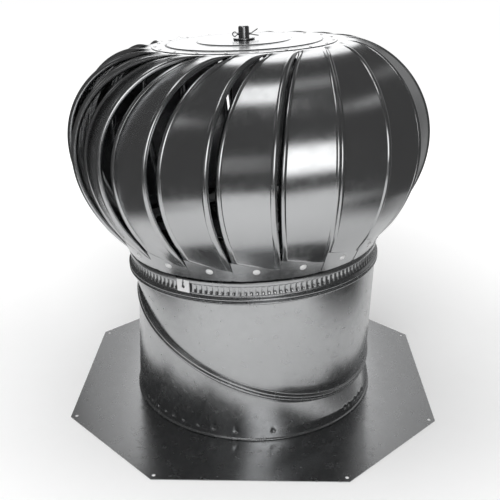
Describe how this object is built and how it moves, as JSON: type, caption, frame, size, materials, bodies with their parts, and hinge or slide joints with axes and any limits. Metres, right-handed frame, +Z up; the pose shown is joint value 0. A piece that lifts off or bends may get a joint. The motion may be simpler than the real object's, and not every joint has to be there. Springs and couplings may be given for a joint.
{
  "type": "roof turbine ventilator",
  "caption": "Wind-driven roof turbine ventilator: octagonal flashing, swivel collar set by hand, and a spinning globe of swept vanes on a fixed shaft.",
  "frame": {"origin": "centre of the flashing plate's underside, where the part rests on the roof deck", "axes": "+Z up through the throat and the spinning head; -Y towards the front, +X to the right seen from the front"},
  "size_m": [0.4572, 0.4572, 0.4649],
  "materials": {
    "mill_finish_aluminium": "mill finish, rolled bright",
    "rivet_aluminium": "bright",
    "galvanised_steel": "zinc coated",
    "bright_steel": "bright zinc plated",
    "bearing_rubber": "moulded",
    "bush_plastic": "acetal, natural"
  },
  "bodies": {
    "base": {"flashing_plate": "mill_finish_aluminium", "lower_collar": "mill_finish_aluminium"},
    "turret": {"upper_collar": "mill_finish_aluminium", "throat_ring": "mill_finish_aluminium", "throat_clip": "galvanised_steel", "upper_brace_1": "galvanised_steel", "upper_brace_2": "galvanised_steel", "upper_brace_3": "galvanised_steel", "lower_brace_1": "galvanised_steel", "lower_brace_2": "galvanised_steel", "lower_brace_3": "galvanised_steel", "upper_hub": "galvanised_steel", "lower_hub": "galvanised_steel", "hub_screws": "galvanised_steel", "centre_shaft": "galvanised_steel", "set_collar": "galvanised_steel", "bearing_inner_race": "bright_steel", "cap_washer": "bright_steel", "cotter_pin": "bright_steel"},
    "rotor": {"vane_01": "mill_finish_aluminium", "vane_02": "mill_finish_aluminium", "vane_03": "mill_finish_aluminium", "vane_04": "mill_finish_aluminium", "vane_05": "mill_finish_aluminium", "vane_06": "mill_finish_aluminium", "vane_07": "mill_finish_aluminium", "vane_08": "mill_finish_aluminium", "vane_09": "mill_finish_aluminium", "vane_10": "mill_finish_aluminium", "vane_11": "mill_finish_aluminium", "vane_12": "mill_finish_aluminium", "vane_13": "mill_finish_aluminium", "vane_14": "mill_finish_aluminium", "vane_15": "mill_finish_aluminium", "vane_16": "mill_finish_aluminium", "vane_17": "mill_finish_aluminium", "vane_18": "mill_finish_aluminium", "vane_19": "mill_finish_aluminium", "vane_20": "mill_finish_aluminium", "vane_ring": "mill_finish_aluminium", "ring_rivets": "rivet_aluminium", "cap_disc": "mill_finish_aluminium", "crown_ring": "mill_finish_aluminium", "bearing_tube": "galvanised_steel", "bearing_outer_race": "bright_steel", "bearing_shields": "bearing_rubber", "lower_bush": "bush_plastic"}
  },
  "joints": [
    {"name": "base_swivel", "type": "hinge", "parent": "base", "child": "turret", "pos_m": [0.00267, -0.00136, 0.1], "axis": [0.341, -0.1737, 0.9239], "range_deg": [0, 180]},
    {"name": "rotor_spin", "type": "hinge", "parent": "turret", "child": "rotor", "pos_m": [0.00267, -0.00136, 0.1], "axis": [-0.0389, 0.0198, 0.999], "continuous": true}
  ]
}
